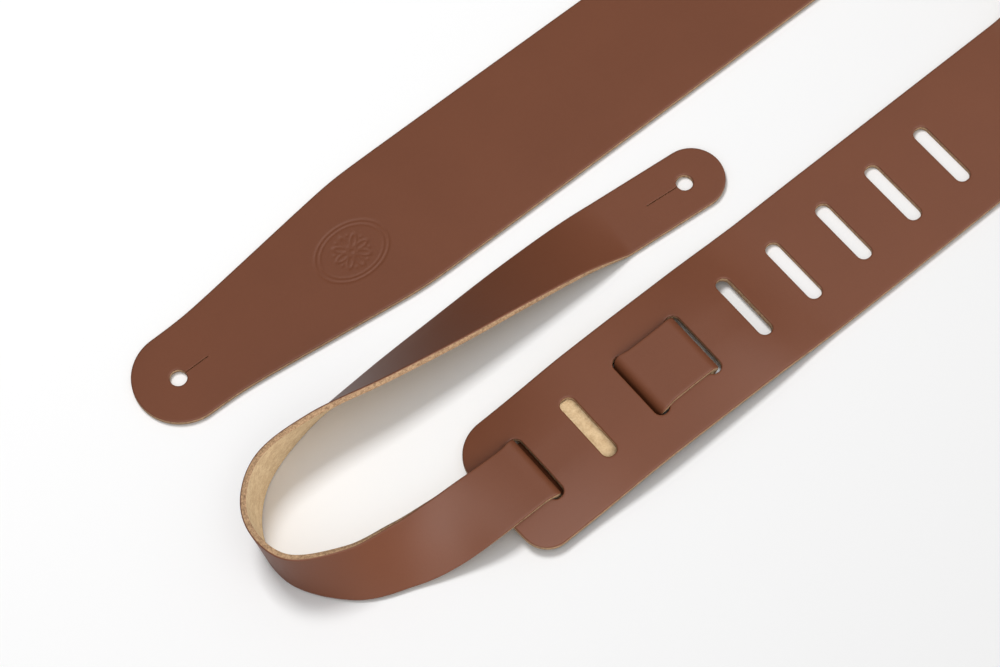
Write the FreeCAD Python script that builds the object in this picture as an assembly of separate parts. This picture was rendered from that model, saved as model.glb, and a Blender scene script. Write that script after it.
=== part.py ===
import FreeCAD, Part
import math
import os

# Guitar strap, in millimetres, laid out on a flat surface with its grain side up.
#
# The strap is two pieces of leather.  The belt is the wide piece: a slotted rear end, a long run, a
# turn that stands on its edge, a front run and a tapered front tab with a button hole.  The tail is
# the narrow piece: it is woven through the belt's slots, loops round on its edge and comes back
# flat to a tip with a button hole.  Both are cut here at the lines where they fold.
#
# Frame: the origin is on the axis of the front button hole, on the surface that the strap lies on.
# +X runs along the belt towards its turn, +Y from the rear leg towards the front leg, +Z is up.

V = FreeCAD.Vector
UP = V(0, 0, 1)

# Leather
BELT_THICK = 2.8
TAIL_THICK = 2.6
LAYER_GAP = 0.25        # between leathers that lie on each other
FOLD_GAP = 0.3          # between two stretches that fold about a line

# Belt, in plan
BELT_WIDTH = 64.0
BELT_END_X = 62.7       # the slotted rear end
BELT_END_BULGE = 1.5
BELT_END_ROUND = 80.0   # radius of the bulge
BELT_CORNER = 12.0
BELT_INNER_CORNER = 18.0
BELT_END_WIDTH = 61.4   # the slotted end narrows a little
BELT_END_TAPER_X = 250.0
REAR_LEG_Y = -126.3
FLAT_END_X = 370.0      # where both legs begin to stand up on edge
TURN_CENTRE_X = 436.7
FRONT_YAW = -0.6        # degrees, the front leg against the rear leg

# Front tab
TAB_WIDTH = 41.0
TAB_TIP = 19.3          # from the button hole to the tip
TAPER_START_X = 17.0
TAPER_END_X = 104.0
TAPER_BLEND = 130.0
TAB_FOLD_X = 118.0

# Slots, across the belt
SLOT_COUNT = 9
SLOT_PITCH = 28.3
SLOT_WIDTH = 7.0
SLOT_SETBACK = 22.2     # from the belt's end to the middle of the first slot
SLOT_CORNER = 2.8
SLOT_EASE = 1.5         # at each end of the tail's width

# Tail
TAIL_WIDTH = 28.6
TAIL_TIP = 18.2         # from its button hole to the tip
TAIL_HOLE_X = 218.7
TAIL_HOLE_Y = -66.2
TAIL_YAW = -5.5         # degrees
TIP_FOLD_SETBACK = 38.0 # from the tail's button hole back to its last fold

# Button holes
HOLE_RADIUS = 3.65
SLIT_WIDTH = 0.4
FRONT_SLIT = 15.2       # from the middle of the hole
TAIL_SLIT = 19.7

# Weave
EYE_LENGTH = 42.0       # the slit near the tail's end, opened by the leather that passes through it
EYE_EASE = 1.6          # at each edge of the tail
EYE_RIM = 12.0          # leather left beside the eye, in plan
EYE_SHIFT = -1.5        # from the third slot's middle to the middle of the eye
LOCK_END = 12.6         # from the second slot's middle back to the tail's end
LOCK_WIDTH = 31.4       # the tail's end flares, so that it fills the second slot
LOCK_CORNER = 6.0
BEND_RADIUS = 3.0       # mid-line, over a slot's edge
FOOT_RADIUS = 4.0       # mid-line, where it flattens under the belt
CLIMB = 66.0            # degrees, through a slot
BAR_GAP = 0.35          # from the bar's edges to the bends that wrap it
END_SLOT_GAP = 0.2      # the same, at the edge of the first slot
RAMP_LENGTH = 46.0      # over which the belt comes down to the surface
RAMP_START = 9.0        # from the fourth slot's middle to the top of the ramp

ALL_ROUND = 500.0       # larger than any piece
ARC_SLACK = 0.01        # keeps a round end's two arcs from meeting with no edge between them
STATION_STEP = 32.0     # between the stations near the return fold

# Heights that follow from the layers
TAB_BOTTOM = TAIL_THICK + LAYER_GAP
BELT_LIFT = 2 * (TAIL_THICK + LAYER_GAP)
UNDER_MID = TAIL_THICK / 2
TAB_MID = TAB_BOTTOM + TAIL_THICK / 2
OVER_MID = BELT_LIFT + BELT_THICK + LAYER_GAP + TAIL_THICK / 2

# Places that follow from the slots
FIRST_SLOT_X = BELT_END_X + SLOT_SETBACK
HALF_SLOT = SLOT_WIDTH / 2
TURN_RADIUS = (TURN_CENTRE_X * math.tan(math.radians(FRONT_YAW)) - REAR_LEG_Y) / 2
TURN_MID_Y = REAR_LEG_Y + TURN_RADIUS
APEX_X = TURN_CENTRE_X + TURN_RADIUS

# The tail's way from the first slot to its tip: x, y, tilt in degrees, height of its outer edge.
# It leaves the belt flat, stands up on its outer edge round the loop and lies down again.
LEAD_X = FIRST_SLOT_X - HALF_SLOT - 2.0
TAIL_WAY = [
    (LEAD_X, REAR_LEG_Y, 0, OVER_MID - TAIL_THICK / 2),
    (BELT_END_X - 5, REAR_LEG_Y, 7, OVER_MID - TAIL_THICK / 2),
    (39, -124.8, 23, 3.2),
    (22, -122.0, 42, 0),
    (0, -115.5, 63, 0),
    (-19, -98.0, 90, 0),
    (-19, -75.5, 99, 0),
    (-2.5, -59.0, 94, 0),
    (25, -54.0, 77, 0),
    (60, -55.6, 57, 0),
    (97, -57.6, 41, 0),
    (130, -58.9, 28, 0),
    (160, -60.6, 15, 0),
    (TAIL_HOLE_X - TIP_FOLD_SETBACK * math.cos(math.radians(TAIL_YAW)),
     TAIL_HOLE_Y - TIP_FOLD_SETBACK * math.sin(math.radians(TAIL_YAW)), 0, 0),
]
LAST_STATION = len(TAIL_WAY) - 1
RETURN_FOLD = LAST_STATION - 2
FOLD_STATION = FOLD_GAP / 2 / STATION_STEP


def slot_x(number):
    """The middle of a slot, counted from 1 at the belt's end."""
    return FIRST_SLOT_X + (number - 1) * SLOT_PITCH


def rounded_face(corners):
    """A flat face from corners (x, y, radius), each rounded by a tangent arc."""
    count = len(corners)
    ends = []
    for i in range(count):
        x, y, radius = corners[i]
        here = V(x, y, 0)
        before = V(corners[i - 1][0], corners[i - 1][1], 0)
        after = V(corners[(i + 1) % count][0], corners[(i + 1) % count][1], 0)
        back = (before - here).normalize()
        ahead = (after - here).normalize()
        half = back.getAngle(ahead) / 2
        if radius == 0:
            ends.append((here, None, here))
            continue
        reach = radius / math.tan(half)
        middle = (back + ahead).normalize()
        mid_point = here + middle * (radius / math.sin(half) - radius)
        ends.append((here + back * reach, mid_point, here + ahead * reach))
    edges = []
    for i in range(count):
        first, mid_point, last = ends[i]
        if mid_point is not None:
            edges.append(Part.Arc(first, mid_point, last).toShape())
        following = ends[(i + 1) % count][0]
        if (following - last).Length > 1e-6:
            edges.append(Part.LineSegment(last, following).toShape())
    return Part.Face(Part.Wire(edges))


def strip_face(x, z, heading, moves, thick):
    """A strip seen from its side: a mid-line of lines (length, 0) and arcs (radius, turn)."""
    half = thick / 2
    point = V(x, 0, z)
    angle = math.radians(heading)
    sides = ([], [])
    for size, turn in moves:
        left = V(-math.sin(angle), 0, math.cos(angle))
        if turn == 0:
            ahead = V(math.cos(angle), 0, math.sin(angle)) * size
            for side, sign in zip(sides, (1, -1)):
                start = point + left * (sign * half)
                side.append(Part.LineSegment(start, start + ahead).toShape())
            point = point + ahead
            continue
        bend = math.copysign(1, turn)
        centre = point + left * (bend * size)
        for side, sign in zip(sides, (1, -1)):
            arm = left * (sign * half - bend * size)
            marks = [centre + turned(arm, turn * part) for part in (0, 0.5, 1)]
            side.append(Part.Arc(*marks).toShape())
        point = centre + turned(left * (-bend * size), turn)
        angle += math.radians(turn)
    ends = []
    for which in (0, -1):
        left_point = sides[0][which].Vertexes[which].Point
        right_point = sides[1][which].Vertexes[which].Point
        ends.append(Part.LineSegment(left_point, right_point).toShape())
    edges = Part.sortEdges(sides[0] + sides[1] + ends)[0]
    return Part.Face(Part.Wire(edges))


def turned(arm, degrees):
    """A vector in the XZ plane turned from +X towards +Z."""
    angle = math.radians(degrees)
    across = arm.x * math.cos(angle) - arm.z * math.sin(angle)
    rise = arm.x * math.sin(angle) + arm.z * math.cos(angle)
    return V(across, 0, rise)


def side_strip(face, middle_y, width):
    """The strip of a side face, as wide as the leather."""
    solid = face.extrude(V(0, width, 0))
    solid.translate(V(0, middle_y - width / 2, 0))
    return solid


def slot_cutter(x, y, height):
    """A slot across the belt, with rounded corners."""
    reach = TAIL_WIDTH / 2 + SLOT_EASE
    corners = []
    for side_x, side_y in ((-1, -1), (1, -1), (1, 1), (-1, 1)):
        corners.append((x + side_x * HALF_SLOT, y + side_y * reach, SLOT_CORNER))
    return rounded_face(corners).extrude(V(0, 0, height))


def button_hole(slit, bottom, height):
    """A round hole at the origin with a slit that runs from it along +X."""
    hole = Part.makeCylinder(HOLE_RADIUS, height, V(0, 0, bottom))
    return hole.fuse(Part.makeBox(slit, SLIT_WIDTH, height, V(0, -SLIT_WIDTH / 2, bottom)))


def smooth(part):
    """0 to 1 with level ends."""
    part = min(max(part, 0), 1)
    return part * part * (3 - 2 * part)


def section(x, y, heading, tilt, foot, width, thick, inward):
    """The leather's cross-section: its outer lower edge is at height foot, its inner edge raised."""
    along = V(math.cos(heading), math.sin(heading), 0)
    inner = V(-along.y, along.x, 0) * inward
    lean = math.radians(tilt)
    across = inner * math.cos(lean) + UP * math.sin(lean)
    grain = UP * math.cos(lean) - inner * math.sin(lean)
    low = min(-width / 2 * math.sin(lean), width / 2 * math.sin(lean)) - thick / 2 * abs(math.cos(lean))
    middle = V(x, y, foot - low)
    corners = []
    for side, face in ((1, 1), (-1, 1), (-1, -1), (1, -1)):
        corners.append(middle + across * (side * width / 2) + grain * (face * thick / 2))
    return Part.makePolygon(corners + corners[:1]), middle, across, grain, along


def turn_section(distance, side):
    """The belt at a distance from its flat end to the apex, on the front (1) or rear (-1) leg."""
    straight = TURN_CENTRE_X - FLAT_END_X
    quarter = TURN_RADIUS * math.pi / 2
    tilt = 90 * smooth(distance / (straight + quarter / 2))
    if distance <= straight:
        x = FLAT_END_X + distance
        y = TURN_MID_Y + side * TURN_RADIUS
        heading = 0
        if side > 0:
            y += (x - TURN_CENTRE_X) * math.tan(math.radians(FRONT_YAW))
            heading = math.radians(FRONT_YAW)
    else:
        angle = (distance - straight) / TURN_RADIUS
        x = TURN_CENTRE_X + TURN_RADIUS * math.sin(angle)
        y = TURN_MID_Y + side * TURN_RADIUS * math.cos(angle)
        heading = -side * angle
    return section(x, y, heading, tilt, 0, BELT_WIDTH, BELT_THICK, -side)


def belt_turn(side, start, stop, steps):
    """Part of the belt's turn, lofted through its cross-sections."""
    wires = []
    for i in range(steps + 1):
        wires.append(turn_section(start + (stop - start) * i / steps, side)[0])
    return Part.makeLoft(wires, True, True)


def tail_section(station):
    """The tail at a station of its way, which may lie between two of them."""
    index = min(int(station), LAST_STATION - 1)
    part = station - index
    rows = [TAIL_WAY[max(index - 1, 0)], TAIL_WAY[index], TAIL_WAY[index + 1]]
    rows.append(TAIL_WAY[min(index + 2, LAST_STATION)])
    place = []
    slope = []
    for before, first, second, after in zip(*rows):
        leave = (second - before) / 2
        arrive = (after - first) / 2
        bend = 3 * (second - first) - 2 * leave - arrive
        close = leave + arrive - 2 * (second - first)
        place.append(first + part * (leave + part * (bend + part * close)))
        slope.append(leave + part * (2 * bend + part * 3 * close))
    heading = math.atan2(slope[1], slope[0])
    foot = max(place[3], 0)
    return section(place[0], place[1], heading, place[2], foot, TAIL_WIDTH, TAIL_THICK, -1)


def tail_stretch(start, stop, steps):
    """Part of the tail's way, lofted through its cross-sections."""
    wires = []
    for i in range(steps + 1):
        wires.append(tail_section(start + (stop - start) * i / steps)[0])
    return Part.makeLoft(wires, True, True)


def belt_rear_run():
    """The slotted rear leg, raised on the tail's layers at its end."""
    ramp_x = slot_x(4) + RAMP_START
    ramp_turn = math.degrees(2 * math.atan(BELT_LIFT / RAMP_LENGTH))
    ramp_radius = RAMP_LENGTH / (2 * math.sin(math.radians(ramp_turn)))
    moves = [
        (ramp_x - BELT_END_X + BELT_END_BULGE, 0),
        (ramp_radius, -ramp_turn),
        (ramp_radius, ramp_turn),
        (FLAT_END_X - ramp_x - RAMP_LENGTH, 0),
    ]
    side = strip_face(BELT_END_X - BELT_END_BULGE, BELT_LIFT + BELT_THICK / 2, 0, moves, BELT_THICK)
    half = BELT_WIDTH / 2
    end_half = BELT_END_WIDTH / 2
    face = rounded_face([
        (BELT_END_X - BELT_END_BULGE, REAR_LEG_Y, BELT_END_ROUND),
        (BELT_END_X, REAR_LEG_Y - end_half, BELT_CORNER),
        (BELT_END_TAPER_X, REAR_LEG_Y - half, 0),
        (FLAT_END_X, REAR_LEG_Y - half, 0),
        (FLAT_END_X, REAR_LEG_Y + half, 0),
        (BELT_END_TAPER_X, REAR_LEG_Y + half, 0),
        (BELT_END_X, REAR_LEG_Y + end_half, BELT_INNER_CORNER),
    ])
    height = 2 * (BELT_LIFT + BELT_THICK)
    solid = side_strip(side, REAR_LEG_Y, BELT_WIDTH).common(face.extrude(V(0, 0, height)))
    for number in range(1, SLOT_COUNT + 1):
        solid = solid.cut(slot_cutter(slot_x(number), REAR_LEG_Y, height))
    return solid


def front_leg(face):
    """A flat piece of the front leg, turned to the front leg's own direction."""
    solid = face.extrude(V(0, 0, BELT_THICK))
    solid.rotate(V(0, 0, 0), UP, FRONT_YAW)
    return solid


def belt_front_run():
    """The plain front leg, between its two folds."""
    half = BELT_WIDTH / 2
    stop = FLAT_END_X / math.cos(math.radians(FRONT_YAW))
    start_x = TAB_FOLD_X + FOLD_GAP
    stop_x = stop - FOLD_GAP
    return front_leg(rounded_face([
        (start_x, -half, 0), (stop_x, -half, 0), (stop_x, half, 0), (start_x, half, 0)]))


def belt_front_tab():
    """The front end: shoulders, taper, round tip and button hole."""
    half = BELT_WIDTH / 2
    narrow = TAB_WIDTH / 2
    tip = -TAB_TIP
    face = rounded_face([
        (TAB_FOLD_X, -half, 0),
        (TAB_FOLD_X, half, 0),
        (TAPER_END_X, half, TAPER_BLEND),
        (TAPER_START_X, narrow, TAPER_BLEND),
        (tip, narrow, narrow - ARC_SLACK),
        (tip, -narrow, narrow - ARC_SLACK),
        (TAPER_START_X, -narrow, TAPER_BLEND),
        (TAPER_END_X, -half, TAPER_BLEND),
    ])
    solid = face.extrude(V(0, 0, BELT_THICK)).cut(button_hole(FRONT_SLIT, -1, BELT_THICK + 2))
    solid.rotate(V(0, 0, 0), UP, FRONT_YAW)
    return solid


def tail_lock_tab():
    """The tail's end under the belt, with the eye that the tail passes through."""
    half = TAIL_WIDTH / 2
    middle = slot_x(3) + EYE_SHIFT
    reach = EYE_LENGTH / 2
    start = slot_x(2) - LOCK_END
    stop = slot_x(4) - HALF_SLOT + BAR_GAP
    flare = LOCK_WIDTH / 2
    body = rounded_face([
        (start, -flare, LOCK_CORNER),
        (middle, -flare, 0),
        (stop, -half, 0),
        (stop, half, 0),
        (middle, flare, 0),
        (start, flare, LOCK_CORNER),
    ])
    eye_half = half + EYE_EASE
    rim = lens_face(middle, reach + EYE_RIM / 2, eye_half + EYE_RIM)
    eye = lens_face(middle, reach, eye_half)
    solid = body.extrude(V(0, 0, TAIL_THICK)).fuse(rim.extrude(V(0, 0, TAIL_THICK)))
    solid = solid.cut(eye.extrude(V(0, 0, TAIL_THICK))).removeSplitter()
    solid = keep_before(solid, stop)
    solid.translate(V(0, REAR_LEG_Y, TAB_BOTTOM))
    return solid


def keep_before(solid, x):
    """What lies on the low side of x."""
    corner = V(x - ALL_ROUND, -ALL_ROUND, -ALL_ROUND)
    return solid.common(Part.makeBox(ALL_ROUND, 2 * ALL_ROUND, 2 * ALL_ROUND, corner))


def lens_face(middle, reach, half):
    """Two equal arcs that meet in points at middle - reach and middle + reach."""
    left = V(middle - reach, 0, 0)
    right = V(middle + reach, 0, 0)
    over = Part.Arc(left, V(middle, half, 0), right).toShape()
    under = Part.Arc(right, V(middle, -half, 0), left).toShape()
    return Part.Face(Part.Wire([over, under]))


def tail_wrap():
    """From under the bar, up through the fourth slot, over the bar and down through the third."""
    edge = slot_x(4) - HALF_SLOT + BAR_GAP
    corner = slot_x(3) + HALF_SLOT - BAR_GAP
    moves = [
        ((OVER_MID - TAB_MID) / 2, 180),
        (edge - corner, 0),
        (BEND_RADIUS, CLIMB),
        (climb_length(), 0),
        (FOOT_RADIUS, -CLIMB),
    ]
    return side_strip(strip_face(edge, TAB_MID, 0, moves, TAIL_THICK), REAR_LEG_Y, TAIL_WIDTH)


def climb_length():
    """The straight part of a climb through a slot."""
    climb = math.radians(CLIMB)
    height = OVER_MID - UNDER_MID - (BEND_RADIUS + FOOT_RADIUS) * (1 - math.cos(climb))
    return height / math.sin(climb)


def climb_run():
    """How far a climb through a slot reaches along the belt."""
    climb = math.radians(CLIMB)
    return (BEND_RADIUS + FOOT_RADIUS) * math.sin(climb) + climb_length() * math.cos(climb)


def tail_underpass():
    """From the third slot back under the lock tab and up through the first slot."""
    start = slot_x(3) + HALF_SLOT - BAR_GAP - climb_run()
    corner = slot_x(1) - HALF_SLOT + END_SLOT_GAP
    moves = [
        (start - corner - climb_run(), 0),
        (FOOT_RADIUS, -CLIMB),
        (climb_length(), 0),
        (BEND_RADIUS, CLIMB),
        (corner - LEAD_X, 0),
    ]
    return side_strip(strip_face(start, UNDER_MID, 180, moves, TAIL_THICK), REAR_LEG_Y, TAIL_WIDTH)


def tail_tip():
    """The flat end of the tail, with its button hole."""
    half = TAIL_WIDTH / 2
    tip = TAIL_TIP
    start = -TIP_FOLD_SETBACK + FOLD_GAP
    face = rounded_face([
        (start, -half, 0), (tip, -half, half - ARC_SLACK), (tip, half, half - ARC_SLACK), (start, half, 0)])
    hole = button_hole(TAIL_SLIT, -1, TAIL_THICK + 2)
    hole.rotate(V(0, 0, 0), UP, 180)
    solid = face.extrude(V(0, 0, TAIL_THICK)).cut(hole)
    solid.rotate(V(0, 0, 0), UP, TAIL_YAW)
    solid.translate(V(TAIL_HOLE_X, TAIL_HOLE_Y, 0))
    return solid


def show_fold(name, parts):
    """Print a fold's line on the grain side, for the joints."""
    middle, across, grain, along = parts
    print(name, "grain point", middle, "across", across, "grain", grain, "along", along)


TURN_LENGTH = TURN_CENTRE_X - FLAT_END_X + TURN_RADIUS * math.pi / 2

PIECES = {
    "belt_rear_run": belt_rear_run(),
    "belt_rear_turn": belt_turn(-1, 0, TURN_LENGTH - FOLD_GAP / 2, 10),
    "belt_front_turn": belt_turn(1, 0, TURN_LENGTH - FOLD_GAP / 2, 10),
    "belt_front_run": belt_front_run(),
    "belt_front_tab": belt_front_tab(),
    "tail_lock_tab": tail_lock_tab(),
    "tail_wrap": tail_wrap(),
    "tail_underpass": tail_underpass(),
    "tail_lead": tail_stretch(0, 3, 6),
    "tail_bend": tail_stretch(3, 8, 12),
    "tail_twist": tail_stretch(8, RETURN_FOLD - FOLD_STATION, 6),
    "tail_return": tail_stretch(RETURN_FOLD + FOLD_STATION, LAST_STATION, 5),
    "tail_tip": tail_tip(),
}

os.makedirs("parts", exist_ok=True)
for name, shape in PIECES.items():
    box = shape.BoundBox
    print(name, "solids", len(shape.Solids), "valid", shape.isValid(), "volume", round(shape.Volume))
    print("   x", round(box.XMin, 1), round(box.XMax, 1), "y", round(box.YMin, 1), round(box.YMax, 1),
          "z", round(box.ZMin, 2), round(box.ZMax, 2))
    shape.exportStep("parts/" + name + ".step")
show_fold("tail_return", tail_section(RETURN_FOLD)[1:])
show_fold("tail_tip", tail_section(LAST_STATION)[1:])
show_fold("front_turn", turn_section(TURN_LENGTH, 1)[1:])
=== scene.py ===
import math

import bmesh
import bpy
import numpy as np
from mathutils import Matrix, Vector


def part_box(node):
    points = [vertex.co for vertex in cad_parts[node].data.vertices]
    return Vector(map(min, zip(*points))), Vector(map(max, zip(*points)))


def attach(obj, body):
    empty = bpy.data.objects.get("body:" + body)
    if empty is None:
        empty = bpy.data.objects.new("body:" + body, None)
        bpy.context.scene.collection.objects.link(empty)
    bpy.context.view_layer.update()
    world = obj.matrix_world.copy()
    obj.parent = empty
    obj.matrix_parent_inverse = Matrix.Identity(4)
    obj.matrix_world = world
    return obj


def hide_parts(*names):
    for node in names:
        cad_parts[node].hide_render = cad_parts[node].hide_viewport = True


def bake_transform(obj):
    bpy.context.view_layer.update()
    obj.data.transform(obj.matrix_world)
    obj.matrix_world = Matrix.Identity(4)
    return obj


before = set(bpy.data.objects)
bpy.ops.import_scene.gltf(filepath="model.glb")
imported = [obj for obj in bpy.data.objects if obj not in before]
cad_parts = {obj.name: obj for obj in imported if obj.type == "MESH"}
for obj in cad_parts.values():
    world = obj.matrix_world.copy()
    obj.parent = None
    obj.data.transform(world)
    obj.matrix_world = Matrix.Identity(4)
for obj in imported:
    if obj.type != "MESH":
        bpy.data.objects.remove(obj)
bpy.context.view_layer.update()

bl_info = {
    "name": "Guitar strap",
    "version": (1, 0, 0),
    "blender": (4, 5, 0),
    "location": "3D View > Sidebar > Strap",
    "description": "A wide leather guitar strap with a narrow tail woven through its slots",
    "category": "Add Mesh",
}

MM = 0.001
BELT_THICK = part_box("belt_front_run")[1].z
TAIL_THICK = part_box("tail_tip")[1].z
GRAIN, FLESH, EDGE = 0, 1, 2
WAY_STEP = 1.0 * MM
WAY_START_X = 40 * MM
PAST_HOLE = 30 * MM  # how far each mid-line runs on past its button hole
SHARP_ANGLE = 48  # degrees


class StrapSizes(bpy.types.PropertyGroup):
    """The strap's driving sizes, as the CAD model has them."""

    belt_width: bpy.props.FloatProperty(
        name="Belt width", description="Width of the wide leather", default=64 * MM,
        unit="LENGTH")
    belt_thick: bpy.props.FloatProperty(
        name="Belt thickness", description="Thickness of the wide leather", default=BELT_THICK,
        unit="LENGTH")
    tab_width: bpy.props.FloatProperty(
        name="Front tab width", description="Width of the tapered front end", default=41 * MM,
        unit="LENGTH")
    tail_width: bpy.props.FloatProperty(
        name="Tail width", description="Width of the narrow leather", default=28.6 * MM,
        unit="LENGTH")
    tail_thick: bpy.props.FloatProperty(
        name="Tail thickness", description="Thickness of the narrow leather", default=TAIL_THICK,
        unit="LENGTH")
    slot_count: bpy.props.IntProperty(
        name="Slots", description="Number of slots in the belt", default=9, min=4)
    slot_pitch: bpy.props.FloatProperty(
        name="Slot pitch", description="From one slot to the next", default=28.3 * MM,
        unit="LENGTH")
    slot_width: bpy.props.FloatProperty(
        name="Slot width", description="Width of a slot along the belt", default=7 * MM,
        unit="LENGTH")
    slot_length: bpy.props.FloatProperty(
        name="Slot length", description="Length of a slot across the belt", default=31.6 * MM,
        unit="LENGTH")
    hole_radius: bpy.props.FloatProperty(
        name="Button hole radius", description="Radius of both button holes", default=3.65 * MM,
        unit="LENGTH")
    front_slit: bpy.props.FloatProperty(
        name="Front slit", description="From the front hole's middle to its slit's end",
        default=15.2 * MM, unit="LENGTH")
    tail_slit: bpy.props.FloatProperty(
        name="Tail slit", description="From the tail hole's middle to its slit's end",
        default=19.7 * MM, unit="LENGTH")
    rim: bpy.props.FloatProperty(
        name="Edge rounding", description="Radius that the grain side rolls over at a cut",
        default=0.55 * MM, unit="LENGTH")
    stamp_depth: bpy.props.FloatProperty(
        name="Stamp depth", description="Depth of the blind stamp on the front tab",
        default=0.32 * MM, unit="LENGTH")


class StrapColours(bpy.types.PropertyGroup):
    """The strap's three finishes and the floor."""

    grain: bpy.props.FloatVectorProperty(
        name="Grain", description="Satin brown grain side", subtype="COLOR",
        default=(0.110, 0.033, 0.0125))
    grain_dark: bpy.props.FloatVectorProperty(
        name="Grain shade", description="Darker mottle of the grain side", subtype="COLOR",
        default=(0.089, 0.026, 0.0096))
    flesh: bpy.props.FloatVectorProperty(
        name="Flesh side", description="Bare tan flesh side", subtype="COLOR",
        default=(0.52, 0.385, 0.23))
    flesh_dark: bpy.props.FloatVectorProperty(
        name="Flesh flecks", description="Darker fibres of the flesh side", subtype="COLOR",
        default=(0.35, 0.235, 0.125))
    edge: bpy.props.FloatVectorProperty(
        name="Cut edge", description="Raw cut edge", subtype="COLOR",
        default=(0.38, 0.245, 0.14))
    edge_dark: bpy.props.FloatVectorProperty(
        name="Cut edge fibres", description="Darker fibres of the cut edge", subtype="COLOR",
        default=(0.12, 0.066, 0.035))
    floor: bpy.props.FloatVectorProperty(
        name="Floor", description="Plain pale floor", subtype="COLOR", default=(0.92, 0.92, 0.92))


# ---- where the leathers run

# The belt: its slotted end, its two flat legs and its turn.
BELT_END_X = 62.7 * MM
BELT_END_BULGE = 1.5 * MM
REAR_LEG_Y = -126.3 * MM
FLAT_END_X = 370 * MM
TURN_CENTRE_X = 436.7 * MM
FRONT_YAW = math.radians(-0.6)
SLOT_SETBACK = 22.2 * MM
FIRST_SLOT_X = BELT_END_X + SLOT_SETBACK
TURN_RADIUS = (TURN_CENTRE_X * math.tan(FRONT_YAW) - REAR_LEG_Y) / 2
TURN_MID_Y = REAR_LEG_Y + TURN_RADIUS
TURN_LENGTH = TURN_CENTRE_X - FLAT_END_X + TURN_RADIUS * math.pi / 2

# The heights of the layers, and the ramp down to the table past the fourth slot.
LAYER_GAP = 0.25 * MM
BELT_LIFT = 2 * (TAIL_THICK + LAYER_GAP)
UNDER_MID = TAIL_THICK / 2
TAB_MID = TAIL_THICK * 1.5 + LAYER_GAP
OVER_MID = BELT_LIFT + BELT_THICK + LAYER_GAP + TAIL_THICK / 2
RAMP_LENGTH = 46 * MM
RAMP_START = 9 * MM
FRONT_HOLE_AT = 2 * FLAT_END_X + 2 * TURN_LENGTH

# The tail: its button hole, its bends through the slots and its locked end.
TAIL_HOLE = np.array((218.7, -66.2)) * MM
TAIL_YAW = math.radians(-5.5)
TIP_FOLD_SETBACK = 38 * MM
LEAD_X = FIRST_SLOT_X - 5.5 * MM
BAR_GAP = 0.9 * MM
END_SLOT_GAP = 0.5 * MM
BEND_RADIUS = 2.4 * MM
FOOT_RADIUS = 4 * MM
CLIMB = 78  # degrees
SLOT_PRESS = 0.6 * MM  # how far a bend leans from the bar towards the slot's other side
LOCK_END = 12.6 * MM  # from the tail's end to the second slot's middle
EYE_OFFSET = 1.5 * MM  # from the eye's middle to the third slot's
WEAVE_LINE_STEP = 0.25 * MM
STATION_STEPS = 900

# The tail from the first slot to its tip fold: x, y in millimetres, tilt in degrees, height of its
# outer edge in millimetres.
LEAD_FOOT = (OVER_MID - TAIL_THICK / 2) / MM
TAIL_STATIONS = np.array([
    (LEAD_X / MM, REAR_LEG_Y / MM, 0, LEAD_FOOT),
    (57.7, REAR_LEG_Y / MM, 7, LEAD_FOOT),
    (39, -124.8, 23, 3.2),
    (22, -122.0, 42, 0),
    (0, -115.5, 63, 0),
    (-19, -98.0, 90, 0),
    (-19, -75.5, 99, 0),
    (-2.5, -59.0, 94, 0),
    (25, -54.0, 77, 0),
    (60, -55.6, 57, 0),
    (97, -57.6, 41, 0),
    (130, -58.9, 28, 0),
    (160, -60.6, 15, 0),
    (180.9, -62.6, 0, 0),
])
RETURN_FOLD = 11


def sizes():
    """The sizes that the panel shows."""
    return bpy.context.scene.strap_sizes


def colours():
    """The colours that the panel shows."""
    return bpy.context.scene.strap_colours


def smooth(part):
    """0 to 1 with level ends: three part squared less two part cubed."""
    part = np.clip(part, 0, 1)
    return part * part * (3 - 2 * part)


def unit(vectors):
    """Each vector over its length."""
    return vectors / np.linalg.norm(vectors, axis=-1, keepdims=True)


def columns(*values):
    """Coordinates side by side, each spread to the longest."""
    return np.stack(np.broadcast_arrays(*values), -1).astype(float)


class Way:
    """A leather's mid-line: distance along it, place, direction across it and out of its grain."""

    def __init__(self, distance, place, across, grain):
        self.distance = distance
        self.place = place
        self.across = unit(across)
        self.grain = unit(grain)

    def lay(self, flat):
        """The cut pattern laid out: place plus across times v plus grain times w, at distance s."""
        along = flat[..., 0]
        out = []
        for axis in range(3):
            place = np.interp(along, self.distance, self.place[:, axis])
            across = np.interp(along, self.distance, self.across[:, axis])
            grain = np.interp(along, self.distance, self.grain[:, axis])
            out.append(place + flat[..., 1] * across + flat[..., 2] * grain)
        return np.stack(out, -1)


def leaning(x, y, heading, tilt, foot, width, thick, side=1):
    """Place, across and grain of a strip that stands on its outer edge and leans by tilt.

    Across is the inner normal times cos tilt plus up times sin tilt; grain is up times cos tilt
    less the inner normal times sin tilt; the place is as high as the outer lower corner allows.
    The inner normal is right of the heading where side is 1, and left of it where side is -1.
    """
    inner = side * columns(np.sin(heading), -np.cos(heading), 0 * heading)
    up = np.array((0.0, 0.0, 1.0))
    cos, sin = np.cos(tilt)[:, None], np.sin(tilt)[:, None]
    across = inner * cos + up * sin
    grain = up * cos - inner * sin
    height = foot + width / 2 * np.abs(np.sin(tilt)) + thick / 2 * np.abs(np.cos(tilt))
    return columns(x, y, height), across, grain


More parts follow.
